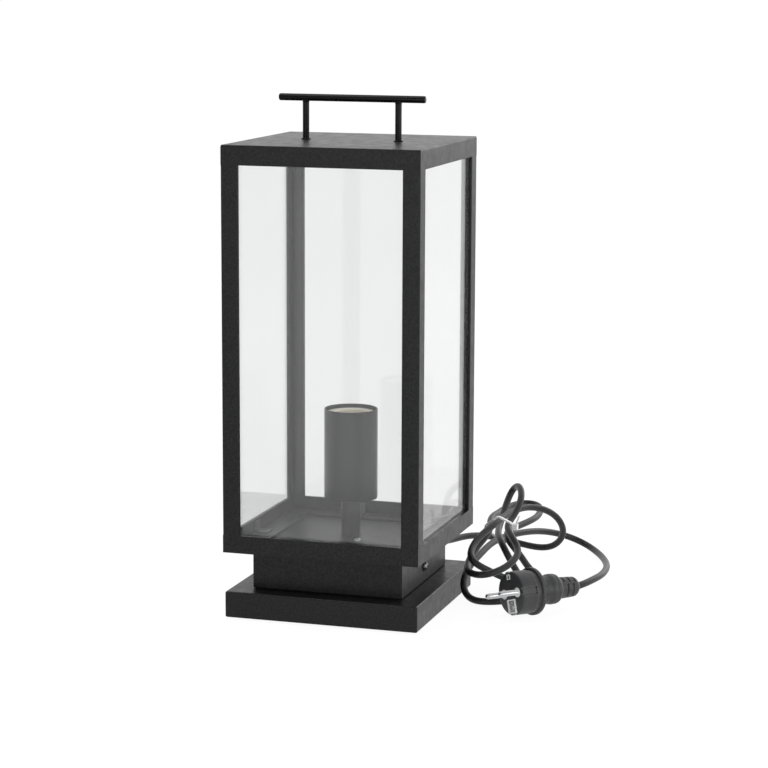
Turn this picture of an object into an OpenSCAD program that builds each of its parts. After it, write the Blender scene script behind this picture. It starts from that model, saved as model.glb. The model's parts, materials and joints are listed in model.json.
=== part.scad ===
// Square lantern table lamp. A glazed steel lantern with a carrying handle slides down
// over a box spigot on a weighted foot, and two side screws pinch it there. Undone, the
// lantern lifts off by its handle to reach the bulb socket.
// Millimetres. Origin at the centre of the foot's underside, +Z up, front face towards -Y.

/* [Lantern] */
// Width and depth of the lantern over its outer faces
body_w = 170; // [158:1:190]
// Height of the lantern frame's underside above the table
frame_z = 57; // [52:1:70]
// Height of the lantern from the frame's underside to the roof's top face
lantern_h = 340; // [300:1:420]
// Leg length of the steel angle that the frame is made of
angle_leg = 15; // [12:0.5:17]
// Thickness of the steel angle
angle_t = 3; // [2:0.25:4]
// Thickness of the roof sheet
roof_t = 1.5; // [1:0.25:3]
// Thickness of the ledge plate round the floor opening
ledge_t = 1.5; // [1:0.25:3]
// How far the ledge plate reaches in over the spigot's edge
ledge_lap = 1.5; // [1:0.25:4]

/* [Glass] */
// Thickness of the glass panes
glass_t = 3; // [2:0.5:4]
// Width of the bent tabs that hold the panes
clip_w = 12; // [6:1:20]
// Height of the tabs against the glass
clip_h = 9; // [5:0.5:14]
// Length of the tabs' feet on the ledge plate
clip_foot = 12; // [8:0.5:16]
// Thickness of the tabs
clip_t = 1; // [0.5:0.25:1.5]
// Distance of each tab from the middle of its pane
clip_offset = 18; // [0:1:50]

/* [Handle] */
// Length of the handle bar
handle_l = 128; // [100:1:150]
// Diameter of the handle bar
handle_d = 6; // [4.5:0.5:9]
// Height of the bar's axis above the roof
handle_rise = 35; // [25:1:60]
// Distance between the axes of the two handle posts
handle_span = 81; // [60:1:90]
// Diameter of the handle posts
handle_post_d = 5.5; // [4.5:0.25:8]
// Diameter of the studs that hold the posts to the roof
stud_d = 4; // [3:0.25:4]
// Outer diameter of the washers under the posts
handle_washer_d = 8; // [7:0.5:12]
// Thickness of those washers
handle_washer_t = 1; // [0.5:0.25:2]

/* [Neck] */
// Inset of the neck's faces from the lantern's faces
neck_inset = 19.5; // [18:0.5:24]
// Thickness of the neck sheet
neck_t = 1.5; // [1:0.25:2.5]
// Shank diameter of the side screws
screw_d = 4; // [3:0.5:5]
// Head diameter of the side screws
screw_head_d = 7.5; // [7:0.25:9]
// Head height of the side screws
screw_head_h = 2.6; // [2:0.1:3.5]
// Height of the side screws above the foot's top face
screw_rise = 13.7; // [11:0.1:17]
// Outer diameter of the washers under the side screws
screw_washer_d = 9.5; // [9:0.5:12]
// Thickness of those washers
screw_washer_t = 0.8; // [0.5:0.1:1.5]
// Thickness of every nut
nut_h = 3; // [2.5:0.25:4]

/* [Foot] */
// Inset of the foot's faces from the lantern's faces
slab_inset = 1; // [0:0.5:4]
// Height of the foot's top face above the table
slab_top = 23.3; // [22:0.1:30]
// Thickness of the foot's sheet steel
slab_t = 1.5; // [1:0.25:2]
// Thickness of the steel ballast plate
ballast_h = 12; // [6:0.5:12]
// Width of the ballast plate
ballast_w = 120; // [80:1:124]
// Thickness of the pads under the foot
pad_h = 1; // [1:0.25:2]
// Diameter of the pads under the foot
pad_d = 16; // [10:1:20]
// Distance of each pad and cover screw from the foot's sides
pad_inset = 12; // [12:0.5:16]
// Thickness of the spigot's sheet steel
spigot_t = 1.5; // [1:0.25:2.5]
// Height of the guide ring round the spigot
guide_h = 4; // [2:0.5:5]

/* [Lampholder] */
// Height of the lampholder's underside above the floor plate
stem_h = 32.8; // [20:0.1:60]
// Diameter of the stem
stem_d = 16.5; // [15:0.5:22]
// Diameter of the threaded tube inside the stem
rod_d = 10; // [9:0.5:12]
// Bore of the threaded tube
rod_bore_d = 7; // [6.5:0.25:7.5]
// Outer diameter of the lampholder's sleeve
holder_d = 45.5; // [43:0.5:52]
// Height of the sleeve
holder_h = 77.5; // [70:0.5:100]
// Thickness of the sleeve
holder_t = 1; // [0.8:0.1:1.5]
// Bore of the socket's screw shell, as an E27 cap needs
socket_d = 26.7; // [26.5:0.1:27.5]
// Length of the screw shell
socket_l = 24; // [18:1:25]
// Wall of the screw shell
socket_t = 1.15; // [0.8:0.05:1.5]
// Depth of the socket's floor below the ceramic rim
socket_depth = 33; // [31:1:38]
// Depth of the ceramic rim below the sleeve's mouth
rim_drop = 3; // [1:0.5:6]

/* [Cord] */
// Diameter of the mains cord
cord_d = 6; // [5:0.25:6.25]
// Place of the cord gland to the right of the middle of the back
gland_x = 36; // [25:1:42]
// Height of the gland above the foot's top face
gland_rise = 13.7; // [12:0.1:15]
// Length of the gland from the spigot's face
gland_l = 29.5; // [20:0.5:40]
// Diameter of the gland's nozzle at the neck
gland_d = 10.4; // [9:0.2:12]
// Thickness of the cable tie
tie_t = 1.3; // [1:0.1:2]
// Width of the cable tie
tie_w = 3.6; // [2.5:0.1:5]

/* [Plug] */
// Diameter of the plug's round body
plug_d = 37; // [35:0.5:39]
// Diameter of the plug's flange
plug_flange_d = 40.6; // [39.5:0.2:44]
// Length of the plug from its face to the end of its strain relief
plug_l = 70; // [64:1:80]
// Diameter of the plug's pins
pin_d = 4.8; // [4:0.1:4.8]
// Length of the pins in front of the face
pin_l = 19; // [16:0.5:19]
// Distance between the pins
pin_span = 19; // [18.5:0.1:19.5]

/* [Hidden] */
// Clearances: seats, running shafts, and shafts through plain holes
seat_gap = 0.3;
run_gap = 0.05;
hole_gap = 0.2;
// Overcut, so that cuts pass right through a face
cut = 1;
$fn = 64;

half = body_w / 2;
inner_half = half - angle_t;
glass_half = inner_half - glass_t;
flange_half = half - angle_leg;
roof_top = frame_z + lantern_h;
roof_under = roof_top - roof_t;
top_ring_z = roof_under - angle_leg;
ledge_z = frame_z + angle_t;
ledge_top = ledge_z + ledge_t;

neck_half = half - neck_inset;
neck_in = neck_half - neck_t;
nut_air = 0.5;
spigot_half = neck_in - nut_h - nut_air;
opening_half = spigot_half - ledge_lap;
floor_top = ledge_z - seat_gap;
floor_under = floor_top - spigot_t;
screw_z = slab_top + screw_rise;
screw_r = screw_d / 2;
nut_r = screw_d;

slab_half = half - slab_inset;
slab_under = slab_top - slab_t;
cover_half = slab_half - slab_t - seat_gap;
cover_top = pad_h + slab_t;
foot_screw_at = slab_half - pad_inset;
foot_screw_r = 1.65;
foot_head_r = 3.4;
foot_boss_r = 5;
foot_screw_l = 13;
pad_at = foot_screw_at - foot_head_r - pad_d / 2 - seat_gap;
spigot_flange = 13;
spigot_screw_at = spigot_half - spigot_t - spigot_flange / 2;
spigot_screw_r = 2;
spigot_head_r = 3.5;
spigot_head_h = 2.4;
spigot_screw_l = 8;

holder_z = floor_top + stem_h;
holder_top = holder_z + holder_h;
holder_in = holder_d / 2 - holder_t;
core_r = holder_in - hole_gap;
core_z = holder_z + holder_t;
rim_z = holder_top - rim_drop;
socket_z = rim_z - socket_depth;
socket_floor_t = 6;
// Chamber for the centre contact below the screw shell
contact_room_r = 11;
contact_room_h = 5;
shell_z = socket_z + contact_room_h;
core_hollow_r = core_r - 4;
core_hollow_top = socket_z - socket_floor_t;
shell_r = socket_d / 2 + socket_t;
rod_r = rod_d / 2;
rod_nut_r = rod_r * 1.6;
rod_over = 2;
rod_low = floor_under - nut_h - rod_over;
rod_high = core_z + nut_h + rod_over;
contact_r = 3.5;
contact_h = 2.5;
contact_pin_r = 2;
terminal_x = 10;
terminal_r = 2.5;
terminal_l = 7;

cord_r = cord_d / 2;
core_wire_r = 1.1;
gland_z = slab_top + gland_rise;
gland_r = gland_d / 2;
gland_waist_r = 5;
gland_flange_r = 6.8;
gland_flange_t = 2;
gland_tip_r = 3.8;
notch_r = gland_r + 0.8;
tail_l = 14.5;
clamp_l = 10;
clamp_gap = 2;
clamp_half = 9;
clamp_top_h = 6;
clamp_screw_at = 6;
clamp_screw_r = 1.5;
// Place of the small earth screw on the floor plate, in front of the stem
earth_at = [12, -19];
earth_head_r = 3;
earth_head_h = 2;
earth_shank_r = 1.5;
earth_shank_l = 6;

// Where the plug lies: face centre in plan, turn about Z, lean of the flange end, roll
plug_at = [144, -9];
plug_yaw = 50;
plug_lean = 2.3;
plug_roll = -18;
flange_from_face = 21;
flange_t = 3.5;
plug_z = plug_flange_d / 2 + 0.2 + flange_from_face * sin(plug_lean);
relief_r = 5;
pin_root = 8;
guide_w = 5.2;
guide_depth = 3;
guide_rise = 0.5;
guide_l = 14;
clip_reach = 18;
clip_from = 5;
plug_clip_w = 9;
plug_clip_t = 0.8;
strip_w = 5;
strip_l = 13;
strip_t = 1.2;

// Route of the cord's centre line, from the gland round five held loops to the plug
ROUTE = [
  [36, 90, 37], [36, 98, 37], [39, 120, 32], [43, 147, 23], [52, 182, 23], [71, 212, 17],
  [99, 226, 6], [125, 223, 5], [141, 212, 25], [133, 194, 48], [115, 172, 57], [107, 144, 58],
  [104, 120, 57], [103, 98, 56], [95, 76, 50], [91, 55, 42], [96, 35, 35], [113, 47, 24],
  [132, 60, 12], [147, 76, 9], [149, 98, 5], [131, 106, 14], [125, 98, 29], [115, 94, 41],
  [108, 110, 46], [112, 137, 45], [120, 162, 46], [120, 190, 45], [116, 213, 49], [98, 216, 50],
  [88, 190, 50], [89, 160, 51], [89, 138, 53], [92, 116, 53], [98, 98, 48], [91, 80, 39],
  [88, 60, 30], [92, 36, 25], [110, 25, 25], [126, 44, 29], [132, 74, 36], [121, 87, 46],
  [109, 104, 52], [114, 122, 59], [116, 141, 72], [107, 163, 79], [97, 172, 70], [96, 151, 55],
  [98, 128, 46], [102, 105, 45], [112, 82, 42], [121, 78, 28], [129, 86, 10], [138, 76, 3],
  [138, 54, 3], [130, 34, 3], [112, 24, 3], [97, 29, 3], [88, 38, 12], [88, 57, 24],
  [91, 90, 29], [92, 120, 32], [97, 150, 32], [108, 182, 30], [117, 212, 25], [131, 238, 17],
  [150, 246, 8], [167, 228, 4], [180, 198, 5], [190, 160, 9], [197, 121, 15], [200, 91, 18],
  [198, 72, 19], [193, 52, 18.8], [189, 44.6, 18.5]
];
ROUTE_STEPS = 3;
GAP_STEPS = 6;
CORD_SIDES = 10;
WIRE_STEPS = 3;
WIRE_SIDES = 8;
// Where the five strands pass through the cable tie, seen along Y
TIE_Y = 105;
TIE_STRANDS = [[103, 56], [112, 52], [111, 44], [103, 45], [95, 50]];
tie_head_at = [118, 52];
tie_head = [5, 5.5, 5];
tie_tail_l = 11;
tie_tail_w = 2.5;
tie_tail_turn = 22;

// Smooth cubic curve through the route; its ends are the first and last points
function padded(p) = concat(
  [2 * p[0] - p[1]], p, [2 * p[len(p) - 1] - p[len(p) - 2]]);
function blend(a, b, c, d, t) = (
  a * pow(1 - t, 3)
  + b * (3 * pow(t, 3) - 6 * t * t + 4)
  + c * (-3 * pow(t, 3) + 3 * t * t + 3 * t + 1)
  + d * pow(t, 3)) / 6;
function smooth(p, steps) = let (q = padded(p)) concat(
  [for (i = [0 : len(p) - 2]) for (k = [0 : steps - 1])
    blend(q[i], q[i + 1], q[i + 2], q[i + 3], k / steps)],
  [p[len(p) - 1]]);
function unit(v) = v / norm(v);
function tangent(p, i) = unit(p[min(i + 1, len(p) - 1)] - p[max(i - 1, 0)]);
// Side direction carried along the curve without twist
function carry(n, t) = unit(n - (n * t) * t);
function sides(p) = [
  for (i = 0, n = carry([0, 0, 1], tangent(p, 0)); i < len(p);
    i = i + 1, n = carry(n, tangent(p, min(i, len(p) - 1)))) n];
function ring(c, n, t, r, count) = let (b = cross(t, n))
  [for (k = [0 : count - 1]) c + r * (cos(360 * k / count) * n + sin(360 * k / count) * b)];
function path_length(p) = [for (i = 0, s = 0; i < len(p);
  s = s + norm(p[min(i + 1, len(p) - 1)] - p[i]), i = i + 1) s];
// Least distance between points of the curve that lie 40 mm or more apart along it
function least_gap(p, s, apart) = min([
  for (i = [0 : len(p) - 1]) for (j = [i + 1 : len(p) - 1])
    if (s[j] - s[i] > apart) norm(p[j] - p[i])]);

module swept_tube(p, r, count) {
  n = sides(p);
  last = len(p) - 1;
  points = [for (i = [0 : last]) each ring(p[i], n[i], tangent(p, i), r, count)];
  wall = [for (i = [0 : last - 1]) for (k = [0 : count - 1])
    let (a = i * count + k, b = i * count + (k + 1) % count)
    each [[a, b, a + count], [b, b + count, a + count]]];
  start = [for (k = [1 : count - 2]) [0, k + 1, k]];
  end = [for (k = [1 : count - 2]) [last * count, last * count + k, last * count + k + 1]];
  polyhedron(points = points, faces = [for (f = concat(wall, start, end)) [f[0], f[2], f[1]]]);
}

// A plain square plate or block, centred in plan
module block(half_w, low, high) {
  translate([-half_w, -half_w, low]) cube([2 * half_w, 2 * half_w, high - low]);
}

module square_ring(outer, inner, low, high) {
  difference() {
    block(outer, low, high);
    block(inner, low - cut, high + cut);
  }
}

// Four copies turned about the middle, one per side or corner
module four() {
  for (turn = [0 : 90 : 270]) rotate([0, 0, turn]) children();
}

module tube(r_out, r_in, low, high) {
  translate([0, 0, low]) difference() {
    cylinder(r = r_out, h = high - low);
    translate([0, 0, -cut]) cylinder(r = r_in, h = high - low + 2 * cut);
  }
}

module hex_nut(r, bore_r, h) {
  difference() {
    cylinder(r = r, h = h, $fn = 6);
    translate([0, 0, -cut]) cylinder(r = bore_r, h = h + 2 * cut, $fn = 48);
  }
}

// Round wire that follows its points in smooth bends
module wire(points) {
  swept_tube(smooth(points, WIRE_STEPS), core_wire_r, WIRE_SIDES);
}

// ---- Lantern ----

module roof_plate() {
  color("#2e2f31") difference() {
    block(half, roof_under, roof_top);
    for (side = [-1, 1])
      translate([side * handle_span / 2, 0, roof_under - cut])
        cylinder(r = stud_d / 2 + hole_gap, h = roof_t + 2 * cut, $fn = 32);
  }
}

module top_frame() {
  color("#2a2b2d") {
    square_ring(half, inner_half, top_ring_z, roof_under);
    square_ring(inner_half, flange_half, roof_under - angle_t, roof_under);
  }
}

module bottom_frame() {
  color("#2a2b2d") {
    square_ring(half, inner_half, frame_z, frame_z + angle_leg);
    square_ring(inner_half, flange_half, frame_z, ledge_z);
  }
}

// Corner post of steel angle, in the front left corner before it is turned
module post() {
  color("#2a2b2d")
    translate([-half, -half, frame_z + angle_leg])
      linear_extrude(top_ring_z - frame_z - angle_leg)
        polygon([[0, 0], [angle_leg, 0], [angle_leg, angle_t], [angle_t, angle_t],
          [angle_t, angle_leg], [0, angle_leg]]);
}

module post_front_left() { post(); }
module post_front_right() { rotate([0, 0, 90]) post(); }
module post_back_right() { rotate([0, 0, 180]) post(); }
module post_back_left() { rotate([0, 0, 270]) post(); }

module floor_ledge() {
  color("#333437") square_ring(inner_half - seat_gap, opening_half, ledge_z, ledge_top);
}

module neck_skirt() {
  low = slab_top + seat_gap;
  color("#2a2b2d") difference() {
    square_ring(neck_half, neck_in, low, ledge_z);
    translate([-half, 0, screw_z]) rotate([0, 90, 0])
      cylinder(r = screw_r + hole_gap, h = body_w, $fn = 48);
    // Notch open at the bottom, so that the neck lifts off over the cord's gland
    translate([gland_x, half, gland_z]) rotate([90, 0, 0]) cylinder(r = notch_r, h = half);
    translate([gland_x - notch_r, 0, low - cut])
      cube([2 * notch_r, half, gland_z - low + cut]);
  }
}

module neck_nuts() {
  color("#9a9ca0") for (side = [-1, 1])
    translate([side * (neck_in - nut_h / 2), 0, screw_z]) rotate([0, 90, 0])
      translate([0, 0, -nut_h / 2]) hex_nut(nut_r, screw_r + run_gap, nut_h);
}

// One pane; half_l is half its width along the wall, y its outer face
module pane(half_l) {
  low = ledge_top + seat_gap;
  high = roof_under - angle_t - seat_gap;
  color("#dfe6e6", 0.35)
    translate([-half_l, -inner_half, low]) cube([2 * half_l, glass_t, high - low]);
}

module glass_front() { pane(inner_half - seat_gap); }
module glass_back() { rotate([0, 0, 180]) pane(inner_half - seat_gap); }
module glass_left() { rotate([0, 0, 270]) pane(glass_half - seat_gap); }
module glass_right() { rotate([0, 0, 90]) pane(glass_half - seat_gap); }

// Bent tab on the ledge against the front pane, one side of it
module low_clip() {
  translate([clip_offset - clip_w / 2, -glass_half, ledge_top]) {
    cube([clip_w, clip_foot, clip_t]);
    cube([clip_w, clip_t, clip_h]);
  }
}

module high_clip() {
  top = roof_under - angle_t;
  foot = flange_half < glass_half ? glass_half - flange_half - clip_t : clip_t;
  translate([clip_offset - clip_w / 2, -glass_half, top - clip_h]) {
    translate([0, 0, clip_h - clip_t]) cube([clip_w, foot, clip_t]);
    cube([clip_w, clip_t, clip_h]);
  }
}

module glass_clips_low() { color("#b9bbbd") four() low_clip(); }
module glass_clips_high() { color("#b9bbbd") four() high_clip(); }

module handle_bar() {
  r = handle_d / 2;
  bevel = 0.5;
  color("#242527")
    translate([-handle_l / 2, 0, roof_top + handle_rise]) rotate([0, 90, 0]) {
      cylinder(r1 = r - bevel, r2 = r, h = bevel);
      translate([0, 0, bevel]) cylinder(r = r, h = handle_l - 2 * bevel);
      translate([0, 0, handle_l - bevel]) cylinder(r1 = r, r2 = r - bevel, h = bevel);
    }
}

// Post with a coped top under the bar, and a stud down through the roof
module handle_post(side) {
  foot = roof_top + handle_washer_t;
  color("#242527") difference() {
    translate([side * handle_span / 2, 0, 0]) {
      translate([0, 0, foot])
        cylinder(r = handle_post_d / 2, h = handle_rise - handle_washer_t);
      translate([0, 0, roof_under - nut_h - cut])
        cylinder(r = stud_d / 2, h = foot - roof_under + nut_h + cut);
    }
    translate([-half, 0, roof_top + handle_rise]) rotate([0, 90, 0])
      cylinder(r = handle_d / 2, h = body_w);
  }
}

module handle_post_left() { handle_post(-1); }
module handle_post_right() { handle_post(1); }

module handle_washers() {
  color("#1d1e20") for (side = [-1, 1]) translate([side * handle_span / 2, 0, 0])
    tube(handle_washer_d / 2, stud_d / 2 + run_gap, roof_top, roof_top + handle_washer_t);
}

module handle_nuts() {
  color("#9a9ca0") for (side = [-1, 1])
    translate([side * handle_span / 2, 0, roof_under - nut_h])
      hex_nut(stud_d, stud_d / 2 + run_gap, nut_h);
}

// ---- Side screws: each turns out of its nut, and its washer travels with it ----

module neck_washer(side) {
  color("#151617") translate([side * neck_half, 0, screw_z]) rotate([0, side * 90, 0])
    tube(screw_washer_d / 2, screw_r + run_gap, 0, screw_washer_t);
}

module neck_screw(side) {
  shank = neck_half - spigot_half - seat_gap + screw_washer_t;
  r = screw_head_d / 2;
  dome = (r * r + screw_head_h * screw_head_h) / (2 * screw_head_h);
  hex_r = screw_d * 0.36;
  hex_depth = 1.3;
  color("#3a3b3d")
    translate([side * (neck_half + screw_washer_t), 0, screw_z]) rotate([0, side * 90, 0])
      difference() {
        union() {
          translate([0, 0, -shank]) cylinder(r = screw_r, h = shank);
          intersection() {
            cylinder(r = r, h = screw_head_h);
            translate([0, 0, screw_head_h - dome]) sphere(r = dome);
          }
        }
        translate([0, 0, screw_head_h - hex_depth])
          cylinder(r = hex_r, h = hex_depth + cut, $fn = 6);
      }
}

module neck_washer_left() { neck_washer(-1); }
module neck_washer_right() { neck_washer(1); }
module neck_screw_left() { neck_screw(-1); }
module neck_screw_right() { neck_screw(1); }

// ---- Foot ----

module base_shell() {
  color("#2c2d2f") difference() {
    union() {
      difference() {
        block(slab_half, pad_h, slab_top);
        block(slab_half - slab_t, pad_h - cut, slab_under);
      }
      four() translate([foot_screw_at, foot_screw_at, cover_top + seat_gap])
        cylinder(r = foot_boss_r, h = slab_under - cover_top - seat_gap);
    }
    four() translate([foot_screw_at, foot_screw_at, pad_h])
      cylinder(r = foot_screw_r + run_gap, h = foot_screw_l + seat_gap, $fn = 32);
    four() translate([spigot_screw_at, spigot_screw_at, slab_under - cut])
      cylinder(r = spigot_screw_r + hole_gap, h = slab_t + 2 * cut, $fn = 32);
  }
}

module ballast_weight() {
  color("#6b6d70") block(ballast_w / 2, cover_top, cover_top + ballast_h);
}

module base_cover() {
  color("#26272a") difference() {
    block(cover_half, pad_h, cover_top);
    four() translate([foot_screw_at, foot_screw_at, pad_h]) {
      cylinder(r1 = foot_head_r + hole_gap, r2 = foot_screw_r + hole_gap, h = slab_t, $fn = 48);
      translate([0, 0, -cut]) cylinder(r = foot_screw_r + hole_gap, h = slab_t + 2 * cut);
    }
  }
}

module base_feet() {
  color("#18191a") four() translate([pad_at, pad_at, 0]) cylinder(d = pad_d, h = pad_h);
}

module base_screws() {
  color("#8d8f92") four() translate([foot_screw_at, foot_screw_at, pad_h]) {
    cylinder(r1 = foot_head_r, r2 = foot_screw_r, h = slab_t, $fn = 48);
    cylinder(r = foot_screw_r, h = foot_screw_l, $fn = 32);
  }
}

// Square ring on the foot that keeps the neck in its place sideways
module guide_ring() {
  color("#2a2b2d")
    square_ring(neck_in - seat_gap, spigot_half + seat_gap, slab_top, slab_top + guide_h);
}

module spigot_box() {
  color("#3a3b3e") difference() {
    union() {
      difference() {
        block(spigot_half, slab_top, floor_top);
        block(spigot_half - spigot_t, slab_top - cut, floor_under);
      }
      square_ring(spigot_half, spigot_half - spigot_t - spigot_flange,
        slab_top, slab_top + spigot_t);
    }
    translate([0, 0, floor_under - cut])
      cylinder(r = rod_r + hole_gap, h = spigot_t + 2 * cut);
    translate([earth_at[0], earth_at[1], floor_under - cut])
      cylinder(r = earth_shank_r + run_gap, h = spigot_t + 2 * cut, $fn = 32);
    translate([gland_x, half, gland_z]) rotate([90, 0, 0])
      cylinder(r = gland_waist_r + run_gap, h = half);
    four() translate([spigot_screw_at, spigot_screw_at, slab_top - cut])
      cylinder(r = spigot_screw_r + run_gap, h = spigot_t + 2 * cut, $fn = 32);
  }
}

module spigot_screws() {
  color("#8d8f92") four() translate([spigot_screw_at, spigot_screw_at, slab_under]) {
    translate([0, 0, -spigot_head_h]) cylinder(r = spigot_head_r, h = spigot_head_h, $fn = 32);
    cylinder(r = spigot_screw_r, h = spigot_screw_l, $fn = 32);
  }
}

// ---- Lampholder ----

module stem_rod() {
  color("#b59a55") tube(rod_r, rod_bore_d / 2, rod_low, rod_high);
}

module lamp_stem() {
  color("#2b2c2e") tube(stem_d / 2, rod_r + hole_gap, floor_top, holder_z);
}

module stem_nuts() {
  color("#9a9ca0") for (low = [floor_under - nut_h, core_z])
    translate([0, 0, low]) hex_nut(rod_nut_r, rod_r + run_gap, nut_h);
}

module holder_cup() {
  color("#303133") difference() {
    translate([0, 0, holder_z]) cylinder(d = holder_d, h = holder_h);
    translate([0, 0, core_z]) cylinder(r = holder_in, h = holder_h);
    translate([0, 0, holder_z - cut]) cylinder(r = rod_r + hole_gap, h = holder_t + 2 * cut);
  }
}

module lampholder_core() {
  bevel = 1;
  color("#e9e6dc") difference() {
    union() {
      translate([0, 0, core_z]) cylinder(r = core_r, h = rim_z - core_z - bevel);
      translate([0, 0, rim_z - bevel]) cylinder(r1 = core_r, r2 = core_r - bevel, h = bevel);
    }
    translate([0, 0, shell_z]) cylinder(r = shell_r + hole_gap, h = socket_depth + cut);
    translate([0, 0, socket_z]) cylinder(r = contact_room_r, h = socket_depth);
    translate([0, 0, core_z - cut])
      cylinder(r = core_hollow_r, h = core_hollow_top - core_z + cut);
    translate([0, 0, core_hollow_top - cut])
      cylinder(r = contact_pin_r + run_gap, h = socket_floor_t + 2 * cut, $fn = 32);
  }
}

module thread_shell() {
  color("#b9963e") tube(shell_r, socket_d / 2, shell_z, shell_z + socket_l);
}

module centre_contact() {
  color("#c8a54a") {
    translate([0, 0, socket_z]) cylinder(r = contact_r, h = contact_h, $fn = 48);
    translate([0, 0, core_hollow_top - contact_h])
      cylinder(r = contact_pin_r, h = socket_floor_t + 2 * contact_h, $fn = 32);
  }
}

module terminal_screws() {
  color("#c8a54a") for (side = [-1, 1])
    translate([side * terminal_x, 0, core_hollow_top - terminal_l])
      cylinder(r = terminal_r, h = terminal_l, $fn = 32);
}

// ---- Wiring inside the neck ----

tail_end_y = spigot_half - spigot_t - gland_flange_t - tail_l;
wire_side = 1.3;
wire_low = 0.8;
rod_wire_x = 1.6;
terminal_wire_z = core_hollow_top - terminal_l;

// Stretch inside the threaded tube and up to a terminal, on one side of the axis
function rise(side) = [
  [side * rod_wire_x, 0, rod_low], [side * rod_wire_x, 0, rod_high - 6],
  [side * rod_wire_x, 0, rod_high + 2], [side * terminal_x, 0, rod_high + 5],
  [side * terminal_x, 0, terminal_wire_z - 4], [side * terminal_x, 0, terminal_wire_z]];

module lead_live() {
  start = [gland_x + wire_side, tail_end_y, gland_z - wire_low];
  color("#6b4526") wire(concat([start, start - [0, 4, 0], start - [0, 12, 0],
    [rod_wire_x + 6, 4, rod_low - 10], [rod_wire_x, 0, rod_low - 6]], rise(1)));
}

module lead_neutral() {
  start = [gland_x - wire_side, tail_end_y, gland_z - wire_low];
  color("#2c4f86") wire(concat([start, start - [0, 4, 0], start - [2, 6, 2],
    [-rod_wire_x + 3, 10, rod_low - 17], [-rod_wire_x, 0, rod_low - 10]], rise(-1)));
}

module lead_earth() {
  start = [gland_x, tail_end_y, gland_z + wire_low + 0.6];
  low = floor_top - earth_shank_l;
  color("#5d7a2c") wire([start, start - [0, 4, 0], start - [0, 10, 0],
    [earth_at[0] + 2, earth_at[1] + 4, low - 9], [earth_at[0], earth_at[1], low - 5],
    [earth_at[0], earth_at[1], low]]);
}

module earth_screw() {
  color("#cfd1d3") translate([earth_at[0], earth_at[1], floor_top]) {
    cylinder(r = earth_head_r, h = earth_head_h, $fn = 48);
    translate([0, 0, -earth_shank_l]) cylinder(r = earth_shank_r, h = earth_shank_l, $fn = 32);
  }
}

// Stretch of sheathed cord between the gland and its clamp
module cord_tail() {
  color("#1d1e1f")
    translate([gland_x, tail_end_y, gland_z]) rotate([-90, 0, 0]) cylinder(r = cord_r, h = tail_l);
}

module clamp_half_block(low, high) {
  difference() {
    translate([gland_x - clamp_half, tail_end_y + clamp_gap, low])
      cube([2 * clamp_half, clamp_l, high - low]);
    translate([gland_x, 0, gland_z]) rotate([-90, 0, 0])
      cylinder(r = cord_r + run_gap, h = half);
  }
}

module cord_clamp_base() {
  color("#d8d6cf") difference() {
    clamp_half_block(slab_top + spigot_t, gland_z - seat_gap);
    clamp_screw_set(clamp_screw_r + run_gap, 0, 0);
  }
}

module cord_clamp_bar() {
  color("#d8d6cf") difference() {
    clamp_half_block(gland_z + seat_gap, gland_z + clamp_top_h);
    clamp_screw_set(clamp_screw_r + run_gap, 0, 0);
  }
}

module clamp_screw_set(r, head_r, head_h) {
  for (side = [-1, 1])
    translate([gland_x + side * clamp_screw_at, tail_end_y + clamp_gap + clamp_l / 2, 0]) {
      translate([0, 0, gland_z - clamp_top_h])
        cylinder(r = r, h = 2 * clamp_top_h + head_h, $fn = 32);
      if (head_h > 0) translate([0, 0, gland_z + clamp_top_h])
        cylinder(r = head_r, h = head_h, $fn = 32);
    }
}

module clamp_screws() { color("#8d8f92") clamp_screw_set(clamp_screw_r, 2.6, 1.8); }

module cord_gland() {
  inner = -spigot_t;
  color("#17181a") translate([gland_x, spigot_half, gland_z]) rotate([-90, 0, 0])
    rotate_extrude() polygon([
      [0, inner - gland_flange_t], [gland_flange_r - 0.5, inner - gland_flange_t],
      [gland_flange_r - 0.5, inner], [gland_waist_r, inner], [gland_waist_r, 0],
      [gland_flange_r, 0], [gland_flange_r, gland_flange_t], [gland_r, gland_flange_t],
      [gland_r, neck_half - spigot_half + 1], [gland_tip_r, gland_l], [0, gland_l]]);
}

// ---- Cord and plug ----

module cord() {
  path = smooth(ROUTE, ROUTE_STEPS);
  fine = smooth(ROUTE, GAP_STEPS);
  lengths = path_length(fine);
  echo("cord length", lengths[len(lengths) - 1]);
  echo("least gap between strands", least_gap(fine, lengths, 40) - cord_d);
  color("#2a2b2c") swept_tube(path, cord_r, CORD_SIDES);
}

module tie_outline(r) {
  hull() for (p = TIE_STRANDS) translate(p) circle(r = r, $fn = 32);
}

module cable_tie() {
  color("#e6e8e8") translate([0, TIE_Y + tie_w / 2, 0]) {
    rotate([90, 0, 0]) linear_extrude(tie_w) difference() {
      tie_outline(cord_r + hole_gap + tie_t);
      tie_outline(cord_r + hole_gap);
    }
    translate([tie_head_at[0], -tie_w / 2, tie_head_at[1]]) {
      cube(tie_head, center = true);
      rotate([0, tie_tail_turn, 0])
        translate([-tie_t / 2, -tie_tail_w / 2, 0]) cube([tie_t, tie_tail_w, tie_tail_l]);
    }
  }
}

// Places its children on the plug: Z runs from the face to the strain relief
module on_plug() {
  translate([plug_at[0], plug_at[1], plug_z]) rotate([0, 90 + plug_lean, plug_yaw])
    rotate([0, 0, plug_roll]) children();
}

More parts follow.
